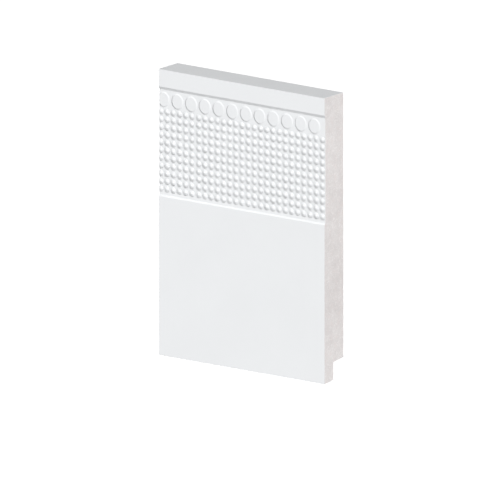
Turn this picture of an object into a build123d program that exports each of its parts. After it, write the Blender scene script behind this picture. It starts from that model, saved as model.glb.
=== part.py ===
from build123d import *
from math import cos, radians, tan
import os

# Milled skirting board, one cut length. Millimetres.
# +X runs along the board to the viewer's right, -Y is the decorated face,
# +Y is the face against the wall, +Z is up. The origin is at mid length and
# mid thickness, at floor level.

# ---- driving dimensions ----
length = 120.0              # cut length
height = 170.0              # floor to top edge
thickness = 18.0            # board thickness
arris = 0.3                 # eased long edges of the painted face and top

rebate_depth = 9.5          # cut into the back, from the wall face
rebate_height = 11.53       # floor to the shoulder of the rebate, at the tongue
back_cut = 7.5              # degrees by which the foot and the shoulder rise towards the back

relief_depth = 0.72         # field below the face
upper_bevel_top = 159.54    # where the plain top band ends
upper_bevel_height = 1.65
lower_bevel_bottom = 94.28  # where the plain lower panel ends
lower_bevel_height = 1.15

dome_columns = 27
dome_rows = 11
dome_pitch_x = 4.48
dome_pitch_z = 4.584
dome_first_x = 0.95         # centre of the first column, from the left end
dome_block = 6              # columns before one milled repeat meets the next
dome_block_gap = 0.49       # the wider gap left there
dome_top_z = 144.78         # centre line of the top row
dome_radius = 1.96          # at the field
dome_height = 0.48

disc_count = 12
disc_pitch = 9.92
disc_first_x = 3.02         # centre of the first disc, from the left end
disc_z = 152.06
disc_half_width = 4.36      # at the field
disc_half_height = 4.76
disc_top_ratio = 0.83       # flat top over base
disc_height = 0.26

root = 0.02                 # how far each raised shape starts below the field

# ---- derived ----
left = -length / 2
front = -thickness / 2
back = thickness / 2
field = front + relief_depth
tongue_back = back - rebate_depth
rise = tan(radians(back_cut))
# the corner before easing, so that the eased front edge ends exactly at floor level
foot = -arris * (1 / cos(radians(back_cut)) + rise - 1)

# ---- the board's section, swept along its length ----
section = [
    (front, foot),
    (front, lower_bevel_bottom),
    (field, lower_bevel_bottom + lower_bevel_height),
    (field, upper_bevel_top - upper_bevel_height),
    (front, upper_bevel_top),
    (front, height),
    (back, height),
    (back, rebate_height + rebate_depth * rise),
    (tongue_back, rebate_height),
    (tongue_back, foot + (tongue_back - front) * rise),
]
outline = Polyline(*[(left, y, z) for y, z in section], close=True)
board = extrude(make_face(outline), amount=length, dir=(1, 0, 0))

# the long outer edges of the face and top are eased by sanding
eased = [
    e
    for e in board.edges().filter_by(Axis.X)
    if any(
        abs(e.center().Y - y) < 1e-6 and abs(e.center().Z - z) < 1e-6
        for y, z in ((front, foot), (front, height), (back, height))
    )
]
board = fillet(eased, arris)


def dome(x, z):
    """Spherical cap standing on the field, cut off a little below it."""
    r = (dome_radius**2 + dome_height**2) / (2 * dome_height)
    ball = Pos(x, field + r - dome_height, z) * Sphere(r)
    cutter = Pos(x, field + root - r, z) * Box(4 * r, 2 * r, 4 * r)
    return ball & cutter


def disc(x, z):
    """Low oval frustum with a flat top, standing on the field."""
    grow = 1 + (1 - disc_top_ratio) * root / disc_height
    lower = Plane(origin=(x, field + root, z), x_dir=(1, 0, 0), z_dir=(0, -1, 0))
    upper = Plane(origin=(x, field - disc_height, z), x_dir=(1, 0, 0), z_dir=(0, -1, 0))
    base = lower * Ellipse(disc_half_width * grow, disc_half_height * grow)
    top = upper * Ellipse(disc_half_width * disc_top_ratio, disc_half_height * disc_top_ratio)
    return loft([base.face(), top.face()], ruled=True)


# ---- the raised pattern, cut off square by the ends of the board ----
dome_master = dome(0, 0)
disc_master = disc(0, 0)

between_ends = Pos(0, 0, height / 2) * Box(length, 4 * thickness, 2 * height)


def placed(master, x, z, half_width):
    shape = Pos(x, 0, z) * master
    if x - half_width < left or x + half_width > -left:
        shape = shape & between_ends
    return shape


def dome_x(column):
    gap = dome_block_gap if column >= dome_block else 0
    return left + dome_first_x + column * dome_pitch_x + gap


raised = []
for i in range(dome_columns):
    for j in range(dome_rows):
        raised.append(
            placed(dome_master, dome_x(i), dome_top_z - j * dome_pitch_z, dome_radius + 0.3)
        )
for k in range(disc_count):
    raised.append(placed(disc_master, left + disc_first_x + k * disc_pitch, disc_z, disc_half_width + 0.3))

board = (board + raised).solid()
board.label = "skirting_board"

os.makedirs("parts", exist_ok=True)
export_step(board, "parts/skirting_board.step")

box = board.bounding_box()
print("solid valid", board.is_valid, "volume mm3", round(board.volume, 1), "faces", len(board.faces()))
print("box", [round(v, 4) for v in (*box.min, *box.max)])
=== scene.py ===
import math

import bpy
import numpy as np
from mathutils import Matrix, Vector
from mathutils.geometry import tessellate_polygon


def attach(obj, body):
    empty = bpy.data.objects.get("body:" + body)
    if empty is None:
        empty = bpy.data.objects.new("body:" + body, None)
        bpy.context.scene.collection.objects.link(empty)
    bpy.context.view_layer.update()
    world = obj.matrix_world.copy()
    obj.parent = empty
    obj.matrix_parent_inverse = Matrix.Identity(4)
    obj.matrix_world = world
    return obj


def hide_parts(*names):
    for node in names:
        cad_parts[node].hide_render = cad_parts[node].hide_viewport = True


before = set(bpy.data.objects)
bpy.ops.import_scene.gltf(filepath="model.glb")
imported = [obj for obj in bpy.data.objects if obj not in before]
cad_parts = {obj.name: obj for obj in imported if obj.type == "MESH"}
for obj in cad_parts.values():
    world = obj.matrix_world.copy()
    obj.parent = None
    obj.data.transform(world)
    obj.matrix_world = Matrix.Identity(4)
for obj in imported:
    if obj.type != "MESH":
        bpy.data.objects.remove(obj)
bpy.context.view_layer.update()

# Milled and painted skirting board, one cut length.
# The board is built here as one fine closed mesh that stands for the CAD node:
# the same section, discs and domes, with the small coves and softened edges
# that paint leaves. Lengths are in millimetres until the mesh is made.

# ---------------------------------------------------------------- dimensions
LENGTH, HEIGHT, THICK = 120.0, 170.0, 18.0
ARRIS = 0.3                      # eased long edges
REBATE_DEPTH, REBATE_HEIGHT = 9.5, 11.53
BACK_CUT = 7.5                   # degrees by which the foot and the shoulder rise towards the back
RELIEF = 0.72
UPPER_TOP, UPPER_H = 159.54, 1.65
LOWER_BOTTOM, LOWER_H = 94.28, 1.15
DOME_COLS, DOME_ROWS = 27, 11
DOME_PX, DOME_PZ = 4.48, 4.584
DOME_X0, DOME_Z0 = 0.95, 144.78
DOME_BLOCK, DOME_GAP = 6, 0.49
DOME_R, DOME_H = 1.96, 0.48
DISC_N, DISC_P, DISC_X0, DISC_Z = 12, 9.92, 3.02, 152.06
DISC_RX, DISC_RZ, DISC_TOP, DISC_H = 4.36, 4.76, 0.83, 0.26

LEFT, RIGHT = -LENGTH / 2, LENGTH / 2
FRONT, BACK = -THICK / 2, THICK / 2
TONGUE_BACK = BACK - REBATE_DEPTH

SAW = 0.05                       # width of the tiny break at each sawn edge
X_CUT, X_END = LEFT + SAW, RIGHT - SAW
X_OVER = LEFT - 2.4              # the pattern is made past the left end, then cut
COVE = 0.12                      # paint fillet round each dome
DISC_SOFT = 0.11                 # rounding of the disc's bevel, as a share of it
BEVEL_SOFT = 0.10                # the same for the two long bevels
DOME_SLOPES = (0.5, 0.57, 0.56, 0.8, 1.36, 1.95, 0.1)   # shading slopes of the domes at their rings: a steeper rim than their true one, so that they read crisply
CRISP_BEVEL = 1.22               # shading slope of the two long bevels, over their own
CRISP_LIT, CRISP_DARK = 1.2, 2.5 # the same for a disc's bevel, on its right and on its left

# --------------------------------------------------- the relief as a function
dome_x = np.array([LEFT + DOME_X0 + i * DOME_PX + (DOME_GAP if i >= DOME_BLOCK else 0) for i in range(DOME_COLS)])
dome_z = np.array([DOME_Z0 - j * DOME_PZ for j in range(DOME_ROWS)])
disc_x = np.array([LEFT + DISC_X0 + k * DISC_P for k in range(DISC_N)])

BALL = (DOME_R**2 + DOME_H**2) / (2 * DOME_H)
DROP = BALL - DOME_H
FOOT = math.sqrt((BALL + COVE) ** 2 - (DROP + COVE) ** 2)     # where the cove meets the field
TANGENT = FOOT * BALL / (BALL + COVE)                          # where it meets the ball
dome_rings = [0.38, 0.76, 1.14, 1.48, 1.78, TANGENT, (TANGENT + FOOT) / 2, FOOT]


def ramp(t, w):
    """0 to 1 as t goes from 0 to 1, straight, with both corners rounded over w. Value and slope."""
    v = np.clip(t, 0, 1)
    d = ((t > 0) & (t < 1)).astype(float)
    low, high = np.abs(t) < w, np.abs(t - 1) < w
    v = np.where(low, (t + w) ** 2 / (4 * w), v)
    d = np.where(low, (t + w) / (2 * w), d)
    v = np.where(high, 1 - (1 + w - t) ** 2 / (4 * w), v)
    d = np.where(high, (1 + w - t) / (2 * w), d)
    return v, d


def relief(x, z):
    """How far the surface stands back from the face at (x, z), with its shading slopes along x and z."""
    a, da = ramp((z - LOWER_BOTTOM) / LOWER_H, BEVEL_SOFT)
    b, db = ramp((UPPER_TOP - z) / UPPER_H, BEVEL_SOFT)
    y = RELIEF * a * b
    yx = np.zeros_like(y)
    lit = ramp(((z - LOWER_BOTTOM) / LOWER_H - 0.12) / 0.80, BEVEL_SOFT)[1]      # the lit bevel's shading is a little narrower than the bevel
    yz = CRISP_BEVEL * RELIEF * (lit / LOWER_H * b - a * db / UPPER_H)
    # domes
    i = np.abs(x[:, None] - dome_x[None]).argmin(1)
    j = np.abs(z[:, None] - dome_z[None]).argmin(1)
    ex, ez = x - dome_x[i], z - dome_z[j]
    r = np.hypot(ex, ez)
    on_ball, on_cove = r <= TANGENT, (r > TANGENT) & (r < FOOT)
    ball = np.sqrt(np.maximum(BALL**2 - r**2, 1e-9))
    cove = np.sqrt(np.maximum(COVE**2 - (FOOT - r) ** 2, 1e-12))
    h = np.where(on_ball, ball - DROP, np.where(on_cove, COVE - cove, 0.0))
    s = np.interp(r, (0, *dome_rings), (0, *DOME_SLOPES, 0))
    way = np.arctan2(ez, ex)
    s = s * (1 - 0.36 * np.cos(way - 3.77) + 0.06 * np.cos(2 * (way - 0.4)))
    rr = np.maximum(r, 1e-9)
    y, yx, yz = y - h, yx + s * ex / rr, yz + s * ez / rr
    # discs
    k = np.abs(x[:, None] - disc_x[None]).argmin(1)
    ex, ez = x - disc_x[k], z - DISC_Z
    rho = np.sqrt((ex / DISC_RX) ** 2 + (ez / DISC_RZ) ** 2)
    g, dg = ramp((1 - rho) / (1 - DISC_TOP), DISC_SOFT)
    rr = np.maximum(rho, 1e-9)
    fall = -DISC_H * dg / (1 - DISC_TOP)
    y = y - DISC_H * g
    nx, nz = ex / (DISC_RX**2 * rr), ez / (DISC_RZ**2 * rr)
    side = (0.90 * nx + 0.44 * nz) / np.maximum(np.hypot(nx, nz), 1e-9)
    crisp = (CRISP_LIT + CRISP_DARK) / 2 + side * (CRISP_LIT - CRISP_DARK) / 2
    yx = yx - 1.1 * crisp * fall * nx
    yz = yz - 0.8 * crisp * fall * nz
    return y, yx, yz


# ------------------------------------------------- the front, as flat polygons
front_polys = []                 # each a list of (x, z), counter-clockwise seen from the front


def key(x, z):
    return (round(float(x), 6), round(float(z), 6))


def cell(cx, cz, xl, xr, zb, zt, n, rings, sx=1.0, sz=1.0):
    """A rectangle with rings of points about (cx, cz): a fan, ring quads, then out to the sides."""
    loops = []
    for r in rings:
        loops.append([key(cx + r * sx * math.cos(2 * math.pi * k / n), cz + r * sz * math.sin(2 * math.pi * k / n)) for k in range(n)])
    side = []
    for k in range(n):
        c, s = math.cos(2 * math.pi * k / n), math.sin(2 * math.pi * k / n)
        m = max(abs(c), abs(s))
        fx, fz = round(c / m, 9), round(s / m, 9)
        side.append(key(cx + fx * (xr - cx if fx > 0 else cx - xl), cz + fz * (zt - cz if fz > 0 else cz - zb)))
    loops.append(side)
    centre = key(cx, cz)
    for k in range(n):
        front_polys.append([centre, loops[0][k], loops[0][(k + 1) % n]])
    for a, b in zip(loops, loops[1:]):
        for k in range(n):
            m = (k + 1) % n
            front_polys.append([a[k], b[k], b[m], a[m]])
    return side


def zip_lines(low, high):
    """Triangles between two lines of points, each running from left to right."""
    i = j = 0
    while i < len(low) - 1 or j < len(high) - 1:
        if j == len(high) - 1 or (i < len(low) - 1 and low[i + 1][0] <= high[j + 1][0]):
            front_polys.append([low[i], low[i + 1], high[j]])
            i += 1
        else:
            front_polys.append([low[i], high[j + 1], high[j]])
            j += 1


stations = np.linspace(X_OVER, X_END, 26)


def line(z):
    return [key(x, z) for x in stations]


def band(levels):
    for a, b in zip(levels, levels[1:]):
        la, lb = line(a), line(b)
        for k in range(len(la) - 1):
            front_polys.append([la[k], la[k + 1], lb[k + 1], lb[k]])


# domes, with the field split half way between neighbours
mid_x = [X_OVER] + [(a + b) / 2 for a, b in zip(dome_x, dome_x[1:])] + [X_END]
ROW_TOP, DISC_BOTTOM, DISC_TOP_Z = 146.96, 147.04, 157.40
mid_z = [ROW_TOP] + [(a + b) / 2 for a, b in zip(dome_z, dome_z[1:])] + [dome_z[-1] - DOME_PZ / 2]
for i, cx in enumerate(dome_x):
    for j, cz in enumerate(dome_z):
        cell(cx, cz, mid_x[i], mid_x[i + 1], mid_z[j + 1], mid_z[j], 24, dome_rings)

# discs
q = 1 - DISC_TOP
disc_rings = [0.45] + [1 - q * t for t in (1 + DISC_SOFT, 1 + DISC_SOFT / 3, 1 - DISC_SOFT / 3, 1 - DISC_SOFT, DISC_SOFT, DISC_SOFT / 3, -DISC_SOFT / 3, -DISC_SOFT)]
mid_d = [X_OVER] + [(a + b) / 2 for a, b in zip(disc_x, disc_x[1:])] + [X_END]
for k, cx in enumerate(disc_x):
    cell(cx, DISC_Z, mid_d[k], mid_d[k + 1], DISC_BOTTOM, DISC_TOP_Z, 48, disc_rings, DISC_RX, DISC_RZ)

edge_points = {}
for poly in front_polys:
    for p in poly:
        edge_points.setdefault(p[1], set()).add(p)


def points_at(z):
    return sorted(edge_points[round(float(z), 6)])


w = BEVEL_SOFT
lower = [LOWER_BOTTOM + t * LOWER_H for t in (-w, -w / 2, 0, w / 2, w, 0.2, 0.84, 1 - w, 1 - w / 2, 1, 1 + w / 2, 1 + w)]
upper = [UPPER_TOP - t * UPPER_H for t in (1 + w, 1 + w / 2, 1, 1 - w / 2, 1 - w, w, w / 2, 0, -w / 2, -w)]
band([ARRIS, 30.0, 60.0] + lower)
zip_lines(line(lower[-1]), points_at(mid_z[-1]))
zip_lines(points_at(ROW_TOP), points_at(DISC_BOTTOM))
zip_lines(points_at(DISC_TOP_Z), line(upper[0]))
band(upper + [HEIGHT - ARRIS])


def clip_left(poly):
    """The part of a polygon right of X_CUT. A cut edge gives the same point from both of its sides."""
    out = []
    for p, q in zip(poly, poly[1:] + poly[:1]):
        if p[0] >= X_CUT:
            out.append(p)
        if (p[0] < X_CUT) != (q[0] < X_CUT):
            a, b = sorted((p, q))
            t = (X_CUT - a[0]) / (b[0] - a[0])
            out.append(key(X_CUT, a[1] + t * (b[1] - a[1])))
    clean = [p for n, p in enumerate(out) if p != out[n - 1]]
    return clean if len(set(clean)) >= 3 else None


front_polys = [c for c in (clip_left(p) if min(v[0] for v in p) < X_CUT else p for p in front_polys) if c]

# ------------------------------------- the rest of the skin, swept along the length
section = []                     # (y, z, normal y, normal z), from the face's top edge round to its foot


def arc(cy, cz, r, a0, a1, n, sign=1):
    for k in range(n + 1):
        a = math.radians(a0 + (a1 - a0) * k / n)
        section.append((cy + r * math.cos(a), cz + r * math.sin(a), sign * math.cos(a), sign * math.sin(a)))


RAW, INNER = 0.15, 0.2           # the unpainted corners at the back of the foot, and the rebate's inner corner
RISE, SLANT = math.tan(math.radians(BACK_CUT)), 1 / math.cos(math.radians(BACK_CUT))
foot_z = -ARRIS * (SLANT + RISE - 1)
arc(FRONT + ARRIS, HEIGHT - ARRIS, ARRIS, 180, 90, 5)
arc(BACK - ARRIS, HEIGHT - ARRIS, ARRIS, 90, 0, 5)
arc(BACK - RAW, REBATE_HEIGHT + (REBATE_DEPTH - RAW) * RISE + RAW * SLANT, RAW, 0, BACK_CUT - 90, 3)
arc(TONGUE_BACK + INNER, REBATE_HEIGHT + INNER * RISE - INNER * SLANT, INNER, 90 + BACK_CUT, 180, 4, -1)
arc(TONGUE_BACK - RAW, foot_z + (TONGUE_BACK - RAW - FRONT) * RISE + RAW * SLANT, RAW, 0, BACK_CUT - 90, 3)
arc(FRONT + ARRIS, ARRIS, ARRIS, 270 + BACK_CUT, 180, 5)
# the face's two arrises read as crisp edges: the upper one is shaded like the top, the lower one like the face
for k, turn in ((1, 100), (2, 94), (3, 91), (4, 90.5), (-5, 198), (-4, 192), (-3, 188), (-2, 184)):
    y, z = section[k][:2]
    section[k] = (y, z, math.cos(math.radians(turn)), math.sin(math.radians(turn)))

# ------------------------------------------------------------ vertices and faces
verts, normals, index = [], [], {}


def add(p, n):
    k = (round(p[0], 5), round(p[1], 5), round(p[2], 5))
    if k not in index:
        index[k] = len(verts)
        verts.append(p)
        normals.append(n)
    return index[k]


flat = sorted({p for poly in front_polys for p in poly})
fx, fz = np.array([p[0] for p in flat]), np.array([p[1] for p in flat])
depth, sx, sz = relief(fx, fz)
size = np.sqrt(1 + sx**2 + sz**2)
front_index = {
    p: add((p[0], FRONT + float(d), p[1]), (float(a / m), float(-1 / m), float(b / m)))
    for p, d, a, b, m in zip(flat, depth, sx, sz, size)
}
faces = [[front_index[p] for p in poly] for poly in front_polys]
face_kind = ["paint"] * len(faces)

sweep_x = [X_CUT] + [float(key(x, 0)[0]) for x in stations if x > X_CUT + 1e-6]
PAINTED_TO = 11                  # the two top arrises and the top; the rest is bare up to the foot's arris
for k in range(len(section) - 1):
    (y0, z0, n0, m0), (y1, z1, n1, m1) = section[k], section[k + 1]
    kind = "paint" if k < PAINTED_TO or k >= len(section) - 6 else "raw_face"
    for xa, xb in zip(sweep_x, sweep_x[1:]):
        faces.append([
            add((xa, y0, z0), (0, n0, m0)), add((xb, y0, z0), (0, n0, m0)),
            add((xb, y1, z1), (0, n1, m1)), add((xa, y1, z1), (0, n1, m1)),
        ])
        face_kind.append(kind)

corner_normals = [[normals[v] for v in f] for f in faces]


# ---------------------------------------------------------------- the sawn ends
def end(x_skin, x_face, out):
    """Closes one end: a tiny break along the outline, the paint's own thickness, then the sawn face."""
    nxt = {}
    seen = set()
    for f in faces:
        for a, b in zip(f, f[1:] + f[:1]):
            seen.add((a, b))
    for a, b in seen:
        if (b, a) not in seen and abs(verts[a][0] - x_skin) < 1e-4 and abs(verts[b][0] - x_skin) < 1e-4:
            nxt[b] = a                      # the reverse of the open side, so that the new faces agree
    start = min(nxt)
    loop = [start]
    while nxt[loop[-1]] != start:
        loop.append(nxt[loop[-1]])
    assert len(loop) == len(nxt), "the end's outline is one loop"
    pts = np.array([(verts[v][1], verts[v][2]) for v in loop])
    area = 0.5 * np.sum(pts[:, 0] * np.roll(pts[:, 1], -1) - np.roll(pts[:, 0], -1) * pts[:, 1])
    turn = 1.0 if area > 0 else -1.0
    e = np.roll(pts, -1, 0) - pts
    e /= np.linalg.norm(e, axis=1)[:, None]
    inward = turn * np.stack([-e[:, 1], e[:, 0]], 1)
    m = inward + np.roll(inward, 1, 0)
    m /= np.maximum((m * inward).sum(1), 0.5)[:, None]
    rings = [loop]
    for off in (SAW, SAW + 0.09):
        ring = []
        for p in pts + m * off:
            ring.append(len(verts))
            verts.append((x_face, float(p[0]), float(p[1])))
            normals.append((out, 0, 0))
        rings.append(ring)
    flat_n = (out, 0.0, 0.0)
    count = len(loop)
    painted = []
    for k in range(count):
        y, z = (pts[k] + pts[(k + 1) % count]) / 2
        painted.append(y < FRONT + 1.2 or z > HEIGHT - 0.05)
    for level, (a, b) in enumerate(zip(rings, rings[1:])):
        for k in range(count):
            n = (k + 1) % count
            faces.append([a[k], a[n], b[n], b[k]])
            first = [normals[a[k]], normals[a[n]]] if level == 0 else [flat_n, flat_n]
            corner_normals.append(first + [flat_n, flat_n])
            face_kind.append("paint" if painted[k] else "raw_end")
    inner = rings[-1]
    poly = [Vector((verts[v][1], verts[v][2], 0)) for v in inner]
    for t in tessellate_polygon([poly]):
        a, b, c = (inner[i] for i in t)
        pa, pb, pc = (Vector(verts[v]) for v in (a, b, c))
        if (pb - pa).cross(pc - pa).x * out < 0:
            b, c = c, b
        faces.append([a, b, c])
        corner_normals.append([flat_n] * 3)
        face_kind.append("raw_end")


end(X_CUT, LEFT, -1.0)
end(X_END, RIGHT, 1.0)

# -------------------------------------------------------------------- the mesh
mesh = bpy.data.meshes.new("skirting_board_milled")
mesh.from_pydata([(x * 0.001, y * 0.001, z * 0.001) for x, y, z in verts], [], faces)
mesh.validate(clean_customdata=False)
board = bpy.data.objects.new("skirting_board_milled", mesh)
bpy.context.scene.collection.objects.link(board)


# -------------------------------------------------------------------- materials
class Nodes:
    """Short calls for building a material's nodes."""

    def __init__(self, name):
        self.mat = bpy.data.materials.new(name)
        self.mat.use_nodes = True
        self.tree = self.mat.node_tree
        self.tree.nodes.clear()
        self.out = self.node("ShaderNodeOutputMaterial")
        self.bsdf = self.node("ShaderNodeBsdfPrincipled")
        self.link(self.bsdf.outputs["BSDF"], self.out.inputs["Surface"])
        coords = self.node("ShaderNodeTexCoord")
        scaled = self.node("ShaderNodeVectorMath", operation="SCALE")
        scaled.inputs["Scale"].default_value = 1000.0
        self.link(coords.outputs["Object"], scaled.inputs[0])
        self.mm = scaled.outputs[0]             # the object's own coordinates, in millimetres

    def node(self, kind, **settings):
        n = self.tree.nodes.new(kind)
        for k, v in settings.items():
            setattr(n, k, v)
        return n

    def link(self, a, b):
        self.tree.links.new(a, b)

    def put(self, socket, value):
        if hasattr(value, "is_output"):
            self.link(value, socket)
        else:
            socket.default_value = value

    def math(self, op, a, b=0.0, clamp=False):
        n = self.node("ShaderNodeMath", operation=op, use_clamp=clamp)
        self.put(n.inputs[0], a)
        self.put(n.inputs[1], b)
        return n.outputs[0]

    def noise(self, vector, scale, detail=2.0, rough=0.5, warp=0.0):
        n = self.node("ShaderNodeTexNoise")
        n.inputs["Scale"].default_value = scale
        n.inputs["Detail"].default_value = detail
        n.inputs["Roughness"].default_value = rough
        n.inputs["Distortion"].default_value = warp
        self.link(vector, n.inputs["Vector"])
        return n.outputs[0]

    def remap(self, value, a, b, c, d, smooth=False):
        n = self.node("ShaderNodeMapRange")
        n.interpolation_type = "SMOOTHSTEP" if smooth else "LINEAR"
        n.inputs["From Min"].default_value = a
        n.inputs["From Max"].default_value = b
        n.inputs["To Min"].default_value = c
        n.inputs["To Max"].default_value = d
        self.link(value, n.inputs["Value"])
        return n.outputs["Result"]

    def mix(self, factor, a, b):
        n = self.node("ShaderNodeMix", data_type="RGBA")
        self.put(n.inputs["Factor"], factor)
        self.put(n.inputs["A"], a)
        self.put(n.inputs["B"], b)
        return n.outputs["Result"]

    def bump(self, height, strength, distance, below=None):
        n = self.node("ShaderNodeBump")
        n.inputs["Strength"].default_value = strength
        n.inputs["Distance"].default_value = distance
        self.link(height, n.inputs["Height"])
        if below is not None:
            self.link(below, n.inputs["Normal"])
        return n.outputs[0]


def srgb(r, g, b, k=1.0):
    def f(v):
        v = v / 255
        return (v / 12.92 if v <= 0.04045 else ((v + 0.055) / 1.055) ** 2.4) * k
    return (f(r), f(g), f(b), 1.0)


def paint():
    """White satin spray paint on milled board: a faint orange peel and faint unevenness."""
    n = Nodes("white_satin_paint")
    slow = n.noise(n.mm, 0.035, 3.0)
    n.put(n.bsdf.inputs["Base Color"], n.mix(n.remap(slow, 0.35, 0.65, 0, 1), srgb(229.5, 231, 232.5), srgb(231, 232.5, 234)))
    n.put(n.bsdf.inputs["Roughness"], n.remap(n.noise(n.mm, 0.5, 3.0), 0.3, 0.7, 0.58, 0.66))
    n.bsdf.inputs["Specular IOR Level"].default_value = 0.25
    peel = n.bump(n.noise(n.mm, 0.9, 2.0, 0.45), 0.5, 0.000012)
    grain = n.bump(n.noise(n.mm, 5.0, 2.0, 0.6), 0.4, 0.000004, peel)
    n.put(n.bsdf.inputs["Normal"], grain)
    return n.mat


def fibres(n, turn, width, length, low, high, warp=0.5):
    """Short pale fibres lying one way: a noise drawn out along an axis turned by the given angles."""
    m = n.node("ShaderNodeMapping", vector_type="TEXTURE")
    m.inputs["Rotation"].default_value = turn
    m.inputs["Scale"].default_value = (width, width, length)
    n.link(n.mm, m.inputs["Vector"])
    return n.remap(n.noise(m.outputs[0], 1.0, 2.0, 0.5, warp), low, high, 0, 1, True)


def raw(name, sawn):
    """Bare fibreboard, pale and slightly pink: short felted fibres, pressed flat on the face and torn up on a sawn end."""
    n = Nodes(name)
    if sawn:                     # the board's layers lie in the plane of its face; a saw shows them end on and lengthwise
        turns = ((0.35, 0.0, 0.2), (-0.55, 0.1, 0.0), (1.15, 0.0, -0.2), (-1.3, 0.2, 0.1), (0.0, 0.1, 0.6))
    else:
        turns = ((0.1, 0.5, 0.0), (0.0, -0.6, 0.1), (0.1, 1.25, 0.0), (0.0, -1.2, 0.1), (0.0, 0.0, 0.0))
    light = None
    for k, turn in enumerate(turns):
        f = fibres(n, turn, 0.62 + 0.07 * k, 1.9 + 0.25 * k, 0.60, 0.74)
        light = f if light is None else n.math("MAXIMUM", light, f)
    dark = n.remap(n.noise(n.mm, 1.15, 2.0, 0.5, 0.3), 0.28, 0.42, 1, 0, True)
    cloud = n.noise(n.mm, 0.19, 3.0, 0.55)
    drift = n.noise(n.mm, 0.028, 2.0, 0.5)
    fine = n.noise(n.mm, 2.9, 3.0, 0.65)
    tone = n.math("ADD", n.remap(cloud, 0.35, 0.65, 0.30, 0.56), n.remap(drift, 0.38, 0.62, -0.06, 0.10))
    place = n.node("ShaderNodeSeparateXYZ")
    n.link(n.mm, place.inputs[0])
    tone = n.math("ADD", tone, n.remap(place.outputs["Z"], 78, 128, -0.14, 0.07, True))     # painted shade and light: the bare board is painted darker below mid height and paler in its upper half, as light falls on the sawn end
    # painted light: paler again towards the foot
    tone = n.math("ADD", tone, n.remap(place.outputs["Z"], 8, 26, 0.10, 0.0, True))
    tone = n.math("ADD", tone, n.remap(fine, 0.3, 0.7, -0.15, 0.15))
    tone = n.math("ADD", tone, n.math("MULTIPLY", light, 0.55))
    tone = n.math("SUBTRACT", tone, n.math("MULTIPLY", dark, 0.30), clamp=True)
    colour = n.mix(tone, srgb(218.5, 213.3, 212.2), srgb(244, 240.5, 239.5))
    blush = n.remap(n.noise(n.mm, 0.33, 2.0), 0.52, 0.68, 0, 0.4)
    colour = n.mix(blush, colour, srgb(231, 222.5, 220.5))
    n.put(n.bsdf.inputs["Base Color"], colour)
    n.bsdf.inputs["Roughness"].default_value = 0.88
    n.bsdf.inputs["Specular IOR Level"].default_value = 0.2
    torn = n.bump(light, 0.5 if sawn else 0.2, 0.00005)
    fuzz = n.bump(fine, 0.6 if sawn else 0.25, 0.00003, torn)
    n.put(n.bsdf.inputs["Normal"], fuzz)
    return n.mat


kinds = {"paint": 0, "raw_face": 1, "raw_end": 2}
for m in (paint(), raw("bare_fibreboard_face", False), raw("bare_fibreboard_sawn", True)):
    mesh.materials.append(m)
mesh.polygons.foreach_set("material_index", [kinds[k] for k in face_kind])
mesh.polygons.foreach_set("use_smooth", [True] * len(faces))
mesh.normals_split_custom_set([n for f in corner_normals for n in f])
mesh.update()

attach(board, "root")
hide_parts("skirting_board")

# ---------------------------------------------------------------------- camera
AZ, EL, SCALE = math.radians(37.15), math.radians(13.58), 1732.0      # pixels per metre
right = Vector((math.cos(AZ), math.sin(AZ), 0))
up = Vector((-math.sin(AZ) * math.sin(EL), math.cos(AZ) * math.sin(EL), math.cos(EL)))
towards = Vector((math.sin(AZ) * math.cos(EL), -math.cos(AZ) * math.cos(EL), math.sin(EL)))
TARGET, PX, PY = Vector((0, 0, 0.085)), 251.06, 223.63                  # that point falls at this pixel
camera = bpy.data.cameras.new("camera")
camera.type = "ORTHO"
camera.ortho_scale = 480 / SCALE
camera.clip_start, camera.clip_end = 0.01, 20
cam = bpy.data.objects.new("camera", camera)
bpy.context.scene.collection.objects.link(cam)
spot = TARGET - right * ((PX - 240) / SCALE) - up * ((240 - PY) / SCALE) + towards * 1.0
cam.matrix_world = Matrix((
    (right.x, up.x, towards.x, spot.x),
    (right.y, up.y, towards.y, spot.y),
    (right.z, up.z, towards.z, spot.z),
    (0, 0, 0, 1),
))
bpy.context.scene.camera = cam


# ---------------------------------------------------------------------- lights
def sun(name, direction, strength, soft, gloss=False):
    data = bpy.data.lights.new(name, "SUN")
    data.energy = strength
    data.angle = math.radians(soft)
    o = bpy.data.objects.new(name, data)
    o.rotation_mode = "QUATERNION"
    o.rotation_quaternion = Vector(direction).to_track_quat("Z", "Y")
    o.location = Vector(direction).normalized() * 2
    o.visible_glossy = gloss
    bpy.context.scene.collection.objects.link(o)
    return o


KEY = (0.3463, -0.8352, 0.4278)
sun("key", KEY, 3.6, 6)
sun("key_sheen", KEY, 0.4, 6, gloss=True)          # the gloss of the whole key would wash out the top, seen from behind
# the fills come from behind the face and miss it: they light only the top, the ends, the back and the foot
sun("top_fill", (0.0, 0.62, 0.78), 1.0, 12)
sun("right_fill", (0.81, 0.58, -0.08), 1.79, 12)
sun("left_fill", (-0.81, 0.58, -0.08), 1.9, 12)
sun("low_fill", (0.0, 0.52, -0.85), 1.3, 12)

world = bpy.data.worlds.new("studio")
bpy.context.scene.world = world
world.use_nodes = True
world.node_tree.nodes["Background"].inputs["Color"].default_value = (1, 1, 1, 1)
world.node_tree.nodes["Background"].inputs["Strength"].default_value = 0.015

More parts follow.
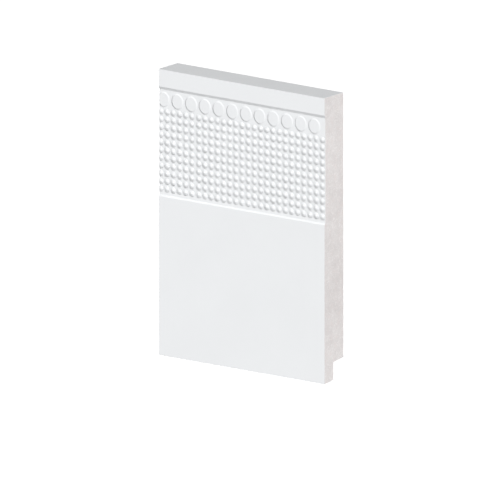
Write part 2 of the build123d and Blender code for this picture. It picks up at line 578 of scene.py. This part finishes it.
# ----------------------------------------------------------------------- floor
floor_mesh = bpy.data.meshes.new("floor")
S = 6.0
floor_mesh.from_pydata([(-S, -S, 0), (S, -S, 0), (S, S, 0), (-S, S, 0)], [], [(0, 1, 2, 3)])
floor = bpy.data.objects.new("floor", floor_mesh)
floor.location.z = -0.00005
bpy.context.scene.collection.objects.link(floor)
fm = bpy.data.materials.new("pale_floor")
fm.use_nodes = True
t = fm.node_tree
t.nodes.clear()
out = t.nodes.new("ShaderNodeOutputMaterial")
diffuse = t.nodes.new("ShaderNodeBsdfDiffuse")
diffuse.inputs["Color"].default_value = (0.15, 0.15, 0.15, 1)
glow = t.nodes.new("ShaderNodeEmission")
glow.inputs["Strength"].default_value = 0.98
both = t.nodes.new("ShaderNodeAddShader")
clear = t.nodes.new("ShaderNodeBsdfTransparent")
side = t.nodes.new("ShaderNodeNewGeometry")
pick = t.nodes.new("ShaderNodeMixShader")
t.links.new(diffuse.outputs[0], both.inputs[0])
t.links.new(glow.outputs[0], both.inputs[1])
t.links.new(side.outputs["Backfacing"], pick.inputs[0])
t.links.new(both.outputs[0], pick.inputs[1])
t.links.new(clear.outputs[0], pick.inputs[2])
t.links.new(pick.outputs[0], out.inputs["Surface"])
floor_mesh.materials.append(fm)
floor.visible_diffuse = False
floor.visible_glossy = False
floor.visible_shadow = False

# a plain white studio wall all round, seen above the floor's edge and from below
wall_mesh = bpy.data.meshes.new("studio_wall")
N, M, R = 48, 24, 9.0
wall_verts = [(R * math.sin(math.pi * j / M) * math.cos(2 * math.pi * i / N), R * math.sin(math.pi * j / M) * math.sin(2 * math.pi * i / N), R * math.cos(math.pi * j / M)) for j in range(1, M) for i in range(N)]
wall_verts += [(0, 0, R), (0, 0, -R)]
top_v, low_v = len(wall_verts) - 2, len(wall_verts) - 1
wall_faces = [(j * N + i, j * N + (i + 1) % N, (j + 1) * N + (i + 1) % N, (j + 1) * N + i) for j in range(M - 2) for i in range(N)]
wall_faces += [(top_v, (i + 1) % N, i) for i in range(N)] + [(low_v, (M - 2) * N + i, (M - 2) * N + (i + 1) % N) for i in range(N)]
wall_mesh.from_pydata(wall_verts, [], wall_faces)
wall = bpy.data.objects.new("studio_wall", wall_mesh)
bpy.context.scene.collection.objects.link(wall)
wm = bpy.data.materials.new("studio_white")
wm.use_nodes = True
wm.node_tree.nodes.clear()
wall_out = wm.node_tree.nodes.new("ShaderNodeOutputMaterial")
wall_glow = wm.node_tree.nodes.new("ShaderNodeEmission")
wall_glow.inputs["Strength"].default_value = 1.0
wm.node_tree.links.new(wall_glow.outputs[0], wall_out.inputs["Surface"])
wall_mesh.materials.append(wm)
wall.visible_diffuse = wall.visible_glossy = wall.visible_transmission = wall.visible_shadow = False

bpy.context.scene.view_settings.view_transform = "Standard"
bpy.context.scene.view_settings.look = "None"

bpy.context.view_layer.update()
